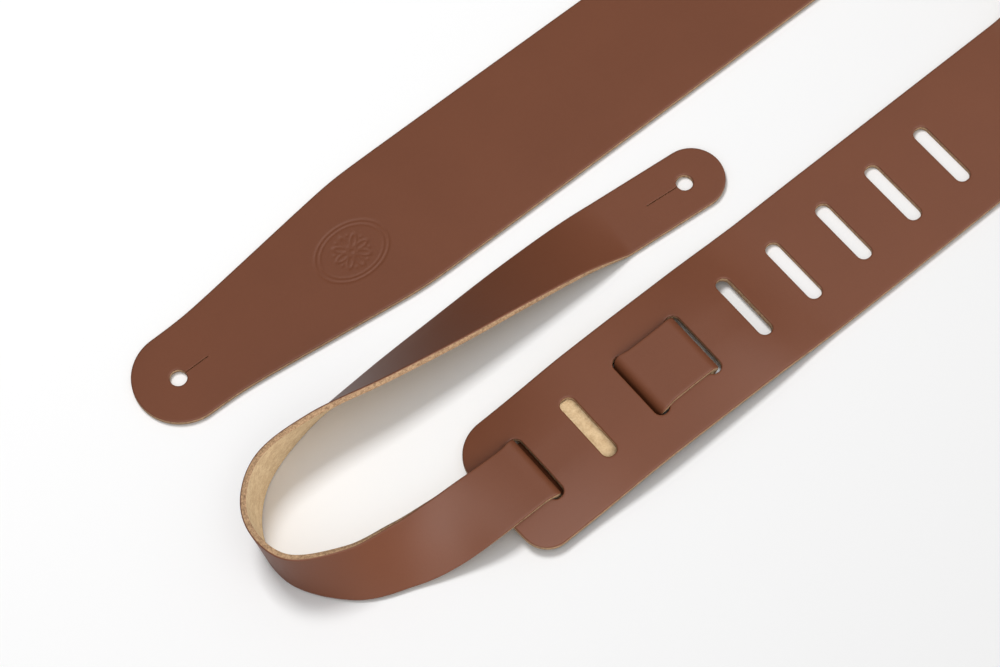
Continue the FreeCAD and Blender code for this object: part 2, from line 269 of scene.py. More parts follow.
def belt_turn_way(side, steps):
    """One half of the belt's turn: straight, then a quarter circle, while the tilt eases to 90.

    side is 1 for the front leg's half and -1 for the rear leg's.
    """
    distance = np.linspace(0, TURN_LENGTH, steps)
    straight = TURN_CENTRE_X - FLAT_END_X
    quarter = TURN_LENGTH - straight
    angle = np.clip(distance - straight, 0, None) / TURN_RADIUS
    flat = np.minimum(distance, straight)
    x = FLAT_END_X + flat + TURN_RADIUS * np.sin(angle)
    y = TURN_MID_Y + side * TURN_RADIUS * np.cos(angle)
    heading = -side * angle
    if side > 0:
        y = y + (FLAT_END_X + flat - TURN_CENTRE_X) * math.tan(FRONT_YAW)
        heading = heading + FRONT_YAW * (1 - smooth(distance / straight))
    tilt = math.pi / 2 * smooth(distance / (straight + quarter / 2))
    size = sizes()
    return distance, *leaning(x, y, heading, tilt, 0, size.belt_width, size.belt_thick, side)


def ramp_height(x):
    """Height of the belt's underside: level, then down by two equal tangent arcs."""
    start = slot_x(4) + RAMP_START
    part = np.clip((x - start) / RAMP_LENGTH, 0, 1)
    radius = (RAMP_LENGTH ** 2 + BELT_LIFT ** 2) / (4 * BELT_LIFT)
    run = part * RAMP_LENGTH
    upper = BELT_LIFT - (radius - np.sqrt(radius ** 2 - run ** 2))
    lower = radius - np.sqrt(radius ** 2 - (RAMP_LENGTH - run) ** 2)
    return np.where(part < 0.5, upper, lower)


def belt_way():
    """The belt from its slotted end (small s) round the turn to its front tip (large s)."""
    thick = sizes().belt_thick
    x = np.arange(WAY_START_X, FLAT_END_X - WAY_STEP / 2, WAY_STEP)
    z = ramp_height(x)
    slope = np.gradient(z, x)
    place = columns(x, REAR_LEG_Y, z + thick / 2)
    grain = columns(-slope, 0, 1)
    across = columns(0 * x, 1, 0)
    rows = [(x, place, across, grain)]
    steps = int(TURN_LENGTH / WAY_STEP)
    distance, place, across, grain = belt_turn_way(-1, steps)
    rows.append((FLAT_END_X + distance, place, across, grain))
    distance, place, across, grain = belt_turn_way(1, steps)
    whole = FLAT_END_X + 2 * TURN_LENGTH
    rows.append((whole - distance[-2::-1], place[-2::-1], across[-2::-1], grain[-2::-1]))
    x = np.arange(FLAT_END_X - WAY_STEP, -PAST_HOLE, -WAY_STEP)
    cos, sin = math.cos(FRONT_YAW), math.sin(FRONT_YAW)
    place = columns(x * cos, x * sin, thick / 2)
    across, grain = columns(sin + 0 * x, -cos, 0), columns(0 * x, 0, 1)
    rows.append((whole + FLAT_END_X - x, place, across, grain))
    return Way(*[np.concatenate(parts) for parts in zip(*rows)])


def slot_x(number):
    """The middle of a slot, counted from 1 at the belt's end."""
    return FIRST_SLOT_X + (number - 1) * sizes().slot_pitch


def tail_start():
    """The tail's end under the belt."""
    return slot_x(2) - LOCK_END


def climb_start():
    """Where the tail turns up through the fourth slot."""
    return slot_x(4) - sizes().slot_width / 2 + BAR_GAP


def eye_along():
    """The eye's middle, as a distance along the tail."""
    return slot_x(3) - EYE_OFFSET - tail_start()


def side_moves(x, z, moves, step):
    """A mid-line in the XZ plane, first along +X: lines (length, 0), arcs (radius, degrees)."""
    points, angles = [], []
    angle = 0.0
    for size, turn in moves:
        bend = math.radians(turn)
        length = abs(size * bend) if turn else size
        part = np.linspace(0, 1, max(2, int(length / step)))[:-1]
        if turn:
            sign = math.copysign(1, turn)
            here = angle + bend * part
            centre_x = x - sign * size * math.sin(angle)
            centre_z = z + sign * size * math.cos(angle)
            points.append(columns(centre_x + sign * size * np.sin(here),
                                  centre_z - sign * size * np.cos(here)))
            angles.append(here)
            angle += bend
            x = centre_x + sign * size * math.sin(angle)
            z = centre_z - sign * size * math.cos(angle)
        else:
            points.append(columns(x + size * math.cos(angle) * part,
                                  z + size * math.sin(angle) * part))
            angles.append(angle + 0 * part)
            x += size * math.cos(angle)
            z += size * math.sin(angle)
    return np.concatenate(points), np.concatenate(angles)


def weave_line():
    """The weave's mid-line, from the tail's end under the belt to just past the first slot."""
    half_slot = sizes().slot_width / 2
    climb = math.radians(CLIMB)
    bends = BEND_RADIUS + FOOT_RADIUS
    rise = (OVER_MID - UNDER_MID - bends * (1 - math.cos(climb))) / math.sin(climb)
    reach = bends * math.sin(climb) + rise * math.cos(climb)
    start = tail_start()
    edge = climb_start()
    corner = slot_x(3) + half_slot - BAR_GAP - SLOT_PRESS
    end_corner = slot_x(1) - half_slot + END_SLOT_GAP + SLOT_PRESS
    moves = [
        (edge - start, 0),
        ((OVER_MID - TAB_MID) / 2, 180),
        (edge - corner, 0),
        (BEND_RADIUS, CLIMB),
        (rise, 0),
        (FOOT_RADIUS, -CLIMB),
        (corner - reach - end_corner - reach, 0),
        (FOOT_RADIUS, -CLIMB),
        (rise, 0),
        (BEND_RADIUS, CLIMB),
        (end_corner - LEAD_X, 0),
    ]
    return side_moves(start, TAB_MID, moves, WEAVE_LINE_STEP)


def station_line(count):
    """The tail's stations joined by cubic spans whose slopes are half of each neighbours' chord."""
    rows = TAIL_STATIONS
    last = len(rows) - 1
    station = np.linspace(0, last, count)
    index = np.minimum(station.astype(int), last - 1)
    part = (station - index)[:, None]
    before, first = rows[np.maximum(index - 1, 0)], rows[index]
    second, after = rows[index + 1], rows[np.minimum(index + 2, last)]
    leave, arrive = (second - before) / 2, (after - first) / 2
    bend = 3 * (second - first) - 2 * leave - arrive
    close = leave + arrive - 2 * (second - first)
    place = first + part * (leave + part * (bend + part * close))
    slope = leave + part * (2 * bend + part * 3 * close)
    return station, place, slope


def tail_way():
    """The tail from its end under the belt (small s) to its round tip (large s).

    With it come the distances to the end of the weave, the return fold and the button hole.
    """
    line, angle = weave_line()
    place = [columns(line[:, 0], REAR_LEG_Y, line[:, 1])]
    across = [columns(0 * angle, 1, 0)]
    grain = [columns(np.sin(angle), 0, -np.cos(angle))]
    station, rows, slope = station_line(STATION_STEPS)
    heading = np.arctan2(slope[:, 1], slope[:, 0])
    made = leaning(rows[:, 0] * MM, rows[:, 1] * MM, heading, np.radians(rows[:, 2]),
                   np.clip(rows[:, 3], 0, None) * MM, sizes().tail_width, sizes().tail_thick)
    for parts, new in zip((place, across, grain), made):
        parts.append(new)
    x = np.linspace(-TIP_FOLD_SETBACK, PAST_HOLE, 60)[1:]
    cos, sin = math.cos(TAIL_YAW), math.sin(TAIL_YAW)
    place.append(columns(TAIL_HOLE[0] + x * cos, TAIL_HOLE[1] + x * sin, sizes().tail_thick / 2))
    across.append(columns(sin + 0 * x, -cos, 0))
    grain.append(columns(0 * x, 0, 1))
    place, across, grain = [np.concatenate(parts) for parts in (place, across, grain)]
    steps = np.linalg.norm(np.diff(place, axis=0), axis=1)
    distance = np.concatenate([[0], np.cumsum(steps)])
    marks = distance[len(line):len(line) + len(station)]
    fold = np.interp(RETURN_FOLD, station, marks)
    hole = marks[-1] + TIP_FOLD_SETBACK
    return Way(distance, place, across, grain), distance[len(line)], fold, hole


# ---- cut patterns

def rim_profile(thick):
    """From grain to flesh round a cut: inset from the cut, height, and the finish of each step."""
    rim = sizes().rim
    half = thick / 2
    turn = np.radians((90, 67, 45, 22, 0))
    inset = np.concatenate([[rim * 2.2], rim * (1 - np.cos(turn)), [0, 0, 0.1 * MM, 0.5 * MM]])
    height = np.concatenate([[half], half - rim + rim * np.sin(turn),
                             [0, 0.12 * MM - half, -half, -half]])
    kinds = [GRAIN] * 5 + [EDGE] * 3 + [FLESH]
    return inset, height, kinds


class Pattern:
    """Grids of flat coordinates (along, across, through) that share their edges."""

    def __init__(self, thick, edge):
        self.thick = thick
        self.edge = edge
        self.inset, self.height, self.kinds = rim_profile(thick)
        self.points = []
        self.quads = []
        self.finishes = []
        self.count = 0

    def grid(self, plan, height, kinds):
        """A grid of points at a plan and a height; kinds holds each step's finish across it."""
        flat = np.concatenate([plan, np.broadcast_to(height, plan.shape[:2])[..., None]], -1)
        rows, cols = plan.shape[:2]
        index = self.count + np.arange(rows * cols).reshape(rows, cols)
        quads = np.stack([index[:-1, :-1], index[1:, :-1], index[1:, 1:], index[:-1, 1:]], -1)
        self.points.append(flat.reshape(-1, 3))
        self.quads.append(quads.reshape(-1, 4))
        self.finishes.append(np.broadcast_to(np.array(kinds), (rows - 1, cols - 1)).ravel())
        self.count += rows * cols

    def faces(self):
        """The inset, height and finish of the grain side and of the flesh side."""
        return ((self.inset[0], self.thick / 2, GRAIN), (self.inset[-1], -self.thick / 2, FLESH))

    def rim(self, cut, normal):
        """The rounded edge along a cut: the cut less its outward normal times each step's inset."""
        plan = cut[:, None, :] - normal[:, None, :] * self.inset[None, :, None]
        self.grid(plan, self.height, self.kinds)

    def side(self, along, side):
        """The cut line of one long edge, and its normal, square to the leather's length."""
        return columns(along, side * self.edge(along, side)), columns(0 * along, side)

    def side_rims(self, along):
        """The rims of both long edges."""
        for side in (-1, 1):
            self.rim(*self.side(along, side))

    def across(self, along, shares, depth):
        """Points across the leather, from one long edge's inset to the other's."""
        low = depth - self.edge(along, -1)
        high = self.edge(along, 1) - depth
        return columns(along, low + (high - low) * (shares + 1) / 2)

    def plates(self, inner_cut, inner_normal, outer, rings):
        """Both faces from a cut to outer, a function of the inset that gives the far points."""
        part = np.linspace(0, 1, rings + 1)[None, :, None]
        for depth, height, kind in self.faces():
            inner = inner_cut - inner_normal * depth
            plan = inner[:, None, :] * (1 - part) + outer(depth)[:, None, :] * part
            self.grid(plan, height, [kind] * rings)

    def strip(self, along, shares):
        """A plain stretch: both faces and both rims."""
        for depth, height, kind in self.faces():
            plan = self.across(along[:, None], shares[None, :], depth)
            self.grid(plan, height, [kind] * (len(shares) - 1))
        self.side_rims(along)

    def cell(self, runs, low, high, shares, rings):
        """An opening in a stretch: its outline's four runs face the high end, the two long edges
        and the low end, and each is joined to its side by plates."""
        along = np.linspace(low, high, len(runs[1][0]))
        for quarter, (cut, normal) in enumerate(runs):
            self.rim(cut, normal)
            if quarter % 2:
                side = 2 - quarter
                edge, square = self.side(along[::-side], side)
                self.plates(cut, normal, lambda depth: edge - square * depth, rings)
            else:
                x, order = (high, 1) if quarter == 0 else (low, -1)
                self.plates(cut, normal, lambda depth: self.across(x, shares[::order], depth),
                            rings)
        self.side_rims(along)


def rounded_slot(centre, half_long, half_wide, corner, long_steps, end_steps):
    """A slot's outline in four runs, split at the middle of each corner's arc, with its normals.

    Each run is an eighth turn, a straight and an eighth turn, with its points evenly spaced.
    """
    runs = []
    eighth = corner * math.pi / 4
    for quarter in range(4):
        reach, side = (half_wide, half_long) if quarter % 2 else (half_long, half_wide)
        steps = end_steps if quarter % 2 else long_steps
        straight = 2 * (reach - corner)
        walk = np.linspace(0, straight + 2 * eighth, steps + 1)
        before = np.minimum(walk - eighth, 0) / corner
        after = np.maximum(walk - straight - eighth, 0) / corner
        angle = before + after
        out = side - corner + corner * np.cos(angle)
        up = np.clip(walk - eighth, 0, straight) - straight / 2 + corner * np.sin(angle)
        cos, sin = math.cos(quarter * math.pi / 2), math.sin(quarter * math.pi / 2)
        turn = angle + quarter * math.pi / 2
        points = columns(centre + out * cos - up * sin, out * sin + up * cos)
        runs.append((points, -columns(np.cos(turn), np.sin(turn))))
    return runs


END_EASE = 6 * MM  # over which the end's normals turn square at the long edges
SLIT_HALF = 0.13 * MM
SLIT_RIM = 0.25  # share of the rim's full inset that is left along the slit


def add_end(pattern, close_x, end_x, plain, radii, bulge, shares, rings):
    """A squared end at the leather's start: its rim, and both faces from the line at close_x.

    plain holds the half-width on each side before the corners; radii holds their radii.  The end
    between the corners bulges by bulge times one less the square of the share of its half-width.
    The outline is worked out densely and sampled at equal steps.
    """
    halves = []
    for half, radius in zip(plain, radii):
        first = math.asin(np.clip((end_x + radius - close_x) / radius, 0, 1))
        turn = np.linspace(first, math.pi / 2, 90)
        arc = columns(end_x + radius * (1 - np.sin(turn)), half - radius * (1 - np.cos(turn)))
        side = columns(np.linspace(close_x, arc[0, 0], 40), arc[0, 1])
        halves.append(np.concatenate([side, arc[1:]]))
    low, high = -halves[0][-1, 1], halves[1][-1, 1]
    share = np.linspace(-1, 1, 120)[1:-1]
    end = columns(end_x - bulge * (1 - share ** 2), low + (high - low) * (share + 1) / 2)
    dense = np.concatenate([halves[0] * (1, -1), end, halves[1][::-1]])
    walk = np.concatenate([[0], np.cumsum(np.linalg.norm(np.diff(dense, axis=0), axis=1))])
    even = np.linspace(0, walk[-1], len(shares))
    cut = columns(np.interp(even, walk, dense[:, 0]), np.interp(even, walk, dense[:, 1]))
    slope = np.gradient(cut, axis=0)
    true = unit(columns(-slope[:, 1], slope[:, 0]))
    near = smooth(np.minimum(even, walk[-1] - even) / END_EASE)[:, None]
    square = columns(0 * even, np.where(even < walk[-1] / 2, -1, 1))
    normal = unit(true * near + square * (1 - near))
    pattern.rim(cut, normal)
    pattern.plates(cut, normal, lambda depth: pattern.across(close_x, shares, depth), rings)


def add_tip(pattern, hole_x, tip, slit, close, shares, rings):
    """A round tip with a button hole whose slit runs back from it.

    The keyhole's outline has one point for each point of the outer outline: the far half of the
    hole looks at the round tip, the near half and the slit's sides look at the straight edges, and
    the slit's end looks at the closing line.  Towards the slit the rim narrows.
    """
    radius = sizes().hole_radius
    centre = tip - pattern.edge(np.array(hole_x), 1)
    half = pattern.edge(np.array(hole_x + centre), 1)
    turn = np.linspace(-math.pi / 2, math.pi / 2, 65)
    ring = columns(np.cos(turn), np.sin(turn))
    round_end = columns(hole_x + centre + (tip - centre) * np.cos(turn), half * np.sin(turn))
    hole = ring * radius + (hole_x, 0)
    pattern.rim(hole, -ring)
    pattern.rim(round_end, ring)
    pattern.plates(hole, -ring, lambda depth: round_end - ring * depth, rings)

    part = np.linspace(0, 1, 49)
    mouth = math.asin(SLIT_HALF / radius)
    on_hole = part <= 0.5
    angle = math.pi / 2 + np.clip(part / 0.5, 0, 1) * (math.pi / 2 - mouth)
    start = -radius * math.cos(mouth)
    run = start - np.clip((part - 0.5) / 0.5, 0, 1) * (slit + start)
    scale = 1 - (1 - SLIT_RIM) * smooth((part - 0.2) / 0.28)
    outward = columns(np.cos(angle), np.sin(angle))
    cut = np.where(on_hole[:, None], radius * outward, columns(run, SLIT_HALF))
    normal = np.where(on_hole[:, None], -outward, columns(0 * part, -1))
    normal[-1] = (1, -1)
    normal[np.argmin(part[on_hole] < 0.5)] = (1, -1)
    normal = normal * scale[:, None]
    along = hole_x + centre - (close + centre) * part
    for side in (1, -1):
        flip = np.array((1, side))
        edge, square = pattern.side(along, side)
        pattern.rim(cut * flip + (hole_x, 0), normal * flip)
        pattern.rim(edge, square)
        pattern.plates(cut * flip + (hole_x, 0), normal * flip,
                       lambda depth: edge - square * depth, rings)
    cut = columns(hole_x - slit, SLIT_HALF * shares)
    normal = SLIT_RIM * columns(1 + 0 * shares, -shares)
    pattern.rim(cut, normal)
    pattern.plates(cut, normal, lambda depth: pattern.across(hole_x - close, shares, depth), rings)


def spacing(start, stop, step):
    """Evenly spaced stops, at most a step apart."""
    return np.linspace(start, stop, max(2, int(math.ceil(abs(stop - start) / step)) + 1))


def leather(name, pattern, way, relief=None, droop=None):
    """The pattern laid out along its way as one closed mesh, with its flat coordinates kept.

    relief gives how far the grain side sinks at each flat coordinate, and droop how far a point
    hangs straight down.
    """
    flat = np.concatenate(pattern.points)
    pressed = flat.copy()
    if relief is not None:
        pressed[:, 2] -= relief(flat)
    place = way.lay(pressed)
    if droop is not None:
        place[:, 2] -= droop(place, flat)
    mesh = bpy.data.meshes.new(name)
    mesh.from_pydata(place, [], np.concatenate(pattern.quads))
    mesh.polygons.foreach_set("material_index", np.concatenate(pattern.finishes).astype(np.int32))
    store = mesh.attributes.new("pattern", "FLOAT_VECTOR", "POINT")
    store.data.foreach_set("vector", flat.astype(np.float32).ravel())
    work = bmesh.new()
    work.from_mesh(mesh)
    bmesh.ops.remove_doubles(work, verts=work.verts, dist=1e-6)
    bmesh.ops.dissolve_degenerate(work, edges=work.edges, dist=1e-7)
    open_edges = [edge for edge in work.edges if len(edge.link_faces) == 1]
    caps = bmesh.ops.holes_fill(work, edges=open_edges, sides=0)["faces"]
    if len(caps) > 2:
        raise RuntimeError(f"{name} has {len(caps)} holes, where its ends make at most two")
    for face in caps:
        face.material_index = EDGE
    bmesh.ops.recalc_face_normals(work, faces=work.faces)
    if any(not edge.is_manifold for edge in work.edges):
        raise RuntimeError(f"{name} isn't closed")
    work.to_mesh(mesh)
    work.free()
    mesh.polygons.foreach_set("use_smooth", np.ones(len(mesh.polygons), bool))
    mesh.set_sharp_from_angle(angle=math.radians(SHARP_ANGLE))
    piece = bpy.data.objects.new(name, mesh)
    bpy.context.scene.collection.objects.link(piece)
    for material in finishes():
        mesh.materials.append(material)
    return piece


# ---- finishes

def new_group(name, **amounts):
    """A node group that takes a vector and some amounts, and makes a mask and a height."""
    group = bpy.data.node_groups.new(name, "ShaderNodeTree")
    group.interface.new_socket(name="Vector", in_out="INPUT", socket_type="NodeSocketVector")
    for label, default in amounts.items():
        socket = group.interface.new_socket(name=label, in_out="INPUT",
                                            socket_type="NodeSocketFloat")
        socket.default_value = default
    for label in ("Mask", "Height"):
        group.interface.new_socket(name=label, in_out="OUTPUT", socket_type="NodeSocketFloat")
    given, made = group.nodes.new("NodeGroupInput"), group.nodes.new("NodeGroupOutput")
    return group, given.outputs, made.inputs


def add_node(tree, kind, inputs=None, **settings):
    """A node with its settings, and its inputs by name or number: a value, or a socket to link."""
    node = tree.nodes.new(kind)
    for key, value in settings.items():
        setattr(node, key, value)
    for key, value in (inputs or {}).items():
        socket = node.inputs[key]
        if isinstance(value, bpy.types.NodeSocket):
            tree.links.new(value, socket)
        else:
            socket.default_value = value
    return node


def maths(tree, operation, first, second=0.0, clamp=False):
    """The output of a Math node."""
    return add_node(tree, "ShaderNodeMath", {0: first, 1: second}, operation=operation,
                    use_clamp=clamp).outputs[0]


def mix_colour(tree, share, first, second):
    """The first colour where share is 0, and the second where it is 1."""
    return add_node(tree, "ShaderNodeMix", {0: share, 6: first, 7: second},
                    data_type="RGBA").outputs[2]


def noise(tree, vector, scale, detail=3.0, roughness=0.55):
    """The value of a Noise texture."""
    return add_node(tree, "ShaderNodeTexNoise", {"Vector": vector, "Scale": scale, "Detail": detail,
                                                 "Roughness": roughness}).outputs[0]


def mottle_group():
    """Slow and quick variation over the leather: a mask from 0 to 1 and a fine height."""
    group, given, made = new_group("Leather mottle", Slow=25.0, Quick=600.0)
    slow = noise(group, given["Vector"], given["Slow"], 4.0)
    quick = noise(group, given["Vector"], given["Quick"], 3.0)
    mask = maths(group, "MULTIPLY_ADD", slow, 0.75)
    group.links.new(maths(group, "MULTIPLY", quick, 0.25), mask.node.inputs[2])
    pores = add_node(group, "ShaderNodeTexVoronoi", {"Vector": given["Vector"]},
                     feature="SMOOTH_F1")
    group.links.new(maths(group, "MULTIPLY", given["Quick"], 1.7), pores.inputs["Scale"])
    height = maths(group, "MULTIPLY_ADD", pores.outputs["Distance"], 0.7)
    group.links.new(quick, height.node.inputs[2])
    group.links.new(mask, made["Mask"])
    group.links.new(height, made["Height"])
    return group


def fibre_group():
    """Matted fibres: a mask of light and dark strands, and their height."""
    group, given, made = new_group("Leather fibres", Scale=900.0, Flecks=260.0)
    fine = noise(group, given["Vector"], given["Scale"], 4.0, 0.7)
    fleck = noise(group, given["Vector"], given["Flecks"], 3.0, 0.6)
    both = maths(group, "ADD", maths(group, "MULTIPLY", fine, 0.6),
                 maths(group, "MULTIPLY", fleck, 0.4))
    mask = add_node(group, "ShaderNodeMapRange", {"Value": both, "From Min": 0.36,
                                                  "From Max": 0.62})
    group.links.new(mask.outputs[0], made["Mask"])
    group.links.new(both, made["Height"])
    return group


def use_group(tree, name, maker):
    """A node that holds the group of that name, made the first time it is asked for."""
    group = bpy.data.node_groups.get(name) or maker()
    return add_node(tree, "ShaderNodeGroup", node_tree=group)


def principled(name):
    """A new material, its tree, its shader, and the flat coordinates that it reads."""
    material = bpy.data.materials.new(name)
    material.use_nodes = True
    tree = material.node_tree
    shader = next(n for n in tree.nodes if n.type == "BSDF_PRINCIPLED")
    place = add_node(tree, "ShaderNodeAttribute", attribute_name="pattern")
    return material, tree, shader, place.outputs["Vector"]


def dress(tree, shader, colour, height, strength, depth, specular):
    """Give a shader its colour, its relief and its specular level."""
    tree.links.new(colour, shader.inputs["Base Color"])
    bump = add_node(tree, "ShaderNodeBump", {"Height": height, "Strength": strength,
                                             "Distance": depth})
    tree.links.new(bump.outputs[0], shader.inputs["Normal"])
    shader.inputs["Specular IOR Level"].default_value = specular


def grain_material():
    """Satin brown grain: mottled colour, fine pores, and a paler line where it rolls to a cut,
    partly edge wear and partly a painted highlight along the rim.
    """
    material, tree, shader, vector = principled("Brown grain")
    group = use_group(tree, "Leather mottle", mottle_group)
    tree.links.new(vector, group.inputs["Vector"])
    shade = colours()
    colour = mix_colour(tree, group.outputs["Mask"], (*shade.grain_dark, 1), (*shade.grain, 1))
    height = add_node(tree, "ShaderNodeSeparateXYZ", {0: vector}).outputs[2]
    roll = add_node(tree, "ShaderNodeMapRange", {
        "Value": height, "From Min": 0.95 * MM, "From Max": 0.6 * MM}).outputs[0]
    # Towards the cut the grain is mixed to the cut edge's colour: partly real edge wear, partly a
    # painted highlight along the rim.
    wear_and_rim_highlight = maths(tree, "MULTIPLY", roll, maths(tree, "ADD", group.outputs["Mask"], 0.1), True)
    colour = mix_colour(tree, wear_and_rim_highlight, colour, (*shade.edge, 1))
    rough = add_node(tree, "ShaderNodeMapRange", {"Value": group.outputs["Mask"], "To Min": 0.46,
                                                  "To Max": 0.56}).outputs[0]
    tree.links.new(rough, shader.inputs["Roughness"])
    dress(tree, shader, colour, group.outputs["Height"], 0.12, 0.2 * MM, 0.3)
    return material


def fibre_material(name, light, dark, scale, flecks, stretch, strength):
    """Raw leather: two tones of matted fibre, dull, with a fuzzy relief."""
    material, tree, shader, vector = principled(name)
    mapping = add_node(tree, "ShaderNodeMapping", {"Vector": vector, "Scale": stretch})
    group = use_group(tree, "Leather fibres", fibre_group)
    tree.links.new(mapping.outputs[0], group.inputs["Vector"])
    group.inputs["Scale"].default_value = scale
    group.inputs["Flecks"].default_value = flecks
    colour = mix_colour(tree, group.outputs["Mask"], (*dark, 1), (*light, 1))
    dress(tree, shader, colour, group.outputs["Height"], strength, 0.4 * MM, 0.2)
    shader.inputs["Roughness"].default_value = 0.95
    return material


def finishes():
    """Grain, flesh and cut edge, in the order of their numbers."""
    if bpy.data.materials.get("Brown grain") is None:
        shade = colours()
        grain_material()
        fibre_material("Suede flesh", shade.flesh, shade.flesh_dark, 1100, 300, (1, 1, 1), 0.5)
        fibre_material("Raw edge", shade.edge, shade.edge_dark, 1500, 700, (1, 1, 1.3), 0.7)
    return [bpy.data.materials[name] for name in ("Brown grain", "Suede flesh", "Raw edge")]


# ---- pieces

BELT_SHARES = np.linspace(-1, 1, 49)
TAB_SHARES = np.linspace(-1, 1, 129)
TAIL_SHARES = np.linspace(-1, 1, 33)
TURN_SEAM = 0.72        # share of each half of the turn, where the turn's middle piece begins
RUN_SEAM_X = 240 * MM
RETURN_SEAM = 26 * MM   # before the return fold, along the tail
TIP_SEAM = 24 * MM      # before the tip fold, along the tail
BELT_CORNERS = (12 * MM, 18 * MM)
BELT_END_WIDTH = 61.4 * MM
BELT_END_TAPER_X = 250 * MM
LOCK_WIDTH = 31.4 * MM
LOCK_CORNER = 6 * MM
SLOT_CORNER = 0.47      # a slot's corner radius over its width
BELT_STEP = 2.5 * MM
TURN_STEP = 2 * MM
TAPER_STEPS = (3 * MM, 2 * MM)  # before the stamp and after it
STAMP_STEP = 0.4 * MM
WEAVE_STEP = 0.55 * MM
LOOP_STEP = 1.6 * MM
TAIL_STEP = 1.5 * MM
FRONT_TIP, TAIL_TIP = 19.3 * MM, 18.2 * MM  # from a button hole's middle to the leather's end
FRONT_CLOSE, TAIL_CLOSE = 20 * MM, 24 * MM  # from a button hole's middle back to the plain stretch

# The hump of the belt's long edges: where it is highest, its reach towards the slotted end and
# towards the turn, its height, and how the drop grows from the middle strip outwards.
DROOP_AT = 127 * MM
DROOP_REACH = (27 * MM, 60 * MM)
DROOP_HIGH = 5.2 * MM
DROOP_PLAIN, DROOP_SPAN = 6 * MM, 26 * MM
DROOP_SHARE, DROOP_POWER = 0.65, 1.6
TAB_DROOP_SHARE = 0.7


def plain_half(along):
    """Half the belt's width: it narrows a little to its slotted end and tapers to its front tab.

    The taper is a straight line whose two ends are eased by square roots of x squared plus ease
    squared.
    """
    wide, narrow = sizes().belt_width / 2, sizes().tab_width / 2
    near = np.clip((BELT_END_TAPER_X - along) / (BELT_END_TAPER_X - BELT_END_X), 0, 1)
    rear = wide - (wide - BELT_END_WIDTH / 2) * near
    x = FRONT_HOLE_AT - along
    start, stop, ease = 17 * MM, 104 * MM, 9 * MM
    bent = np.sqrt((x - start) ** 2 + ease ** 2) - np.sqrt((x - stop) ** 2 + ease ** 2)
    front = narrow + (wide - narrow) * np.clip(0.5 + bent / (2 * (stop - start)), 0, 1)
    return np.where(along < FRONT_HOLE_AT / 2, rear, front)


def belt_edge(along, side):
    """Half the belt's width on one side, with the round corner of its slotted end."""
    radius = BELT_CORNERS[(side + 1) // 2]
    short = np.clip(radius - (along - BELT_END_X), 0, radius)
    return plain_half(along) - (radius - np.sqrt(radius ** 2 - short ** 2))


def belt_droop(place, flat):
    """How far the belt's long edges hang below its middle where the tail's layers raise it.

    The edge's height is a hump, its top times the exponential of minus the squared distance from
    the eye under the belt over its reach; a point takes a share of the drop that grows with its
    distance from the strip along the middle.
    """
    x = place[:, 0]
    off = x - DROOP_AT
    reach = np.where(off < 0, *DROOP_REACH)
    edge_height = np.minimum(DROOP_HIGH * np.exp(-(off / reach) ** 2), ramp_height(x))
    part = np.clip((np.abs(flat[:, 1]) - DROOP_PLAIN) / DROOP_SPAN, 0, 1)
    return DROOP_SHARE * (ramp_height(x) - edge_height) * part ** DROOP_POWER


def make_belt_rear():
    """The slotted rear leg and the first part of the turn."""
    size = sizes()
    pattern = Pattern(size.belt_thick, belt_edge)
    pitch = size.slot_pitch
    close = slot_x(1) - pitch / 2
    add_end(pattern, close, BELT_END_X, [float(plain_half(np.array(close)))] * 2, BELT_CORNERS,
            BELT_END_BULGE / 2, BELT_SHARES, 8)
    for number in range(1, size.slot_count + 1):
        low = slot_x(number) - pitch / 2
        runs = rounded_slot(slot_x(number), size.slot_length / 2, size.slot_width / 2,
                            size.slot_width * SLOT_CORNER, len(BELT_SHARES) - 1, 20)
        pattern.cell(runs, low, low + pitch, BELT_SHARES, 8)
    start = slot_x(size.slot_count) + pitch / 2
    stop = FLAT_END_X + TURN_LENGTH * TURN_SEAM
    pattern.strip(spacing(start, stop, BELT_STEP), BELT_SHARES)
    return leather("belt_rear_leather", pattern, belt_way(), droop=belt_droop)


def plain_stretch(name, start, stop, step):
    """A stretch of the belt with nothing cut in it."""
    pattern = Pattern(sizes().belt_thick, belt_edge)
    pattern.strip(spacing(start, stop, step), BELT_SHARES)
    return leather(name, pattern, belt_way())


def make_belt_turn():
    """The middle part of the turn, round its apex."""
    start = FLAT_END_X + TURN_LENGTH * TURN_SEAM
    stop = FLAT_END_X + TURN_LENGTH * (2 - TURN_SEAM)
    return plain_stretch("belt_turn_leather", start, stop, TURN_STEP)


def make_belt_front_run():
    """The rest of the turn and the plain front leg."""
    start = FLAT_END_X + TURN_LENGTH * (2 - TURN_SEAM)
    return plain_stretch("belt_front_run_leather", start, FRONT_HOLE_AT - RUN_SEAM_X, BELT_STEP)


STAMP_X = 90.7 * MM
STAMP_LONG = 17.5 * MM
STAMP_WIDE = 13.0 * MM
PETALS = 8
PETAL_AT = 5.0 * MM
PETAL_LONG, PETAL_WIDE = 2.9 * MM, 1.25 * MM
EYELET_RADIUS = 1.3 * MM
DOTS_AT = 7.6 * MM
STAMP_MARGIN = 2 * MM


def groove(distance, width):
    """A pressed line with round shoulders: e to the minus (distance over width) squared."""
    return np.exp(-(distance / width) ** 2)


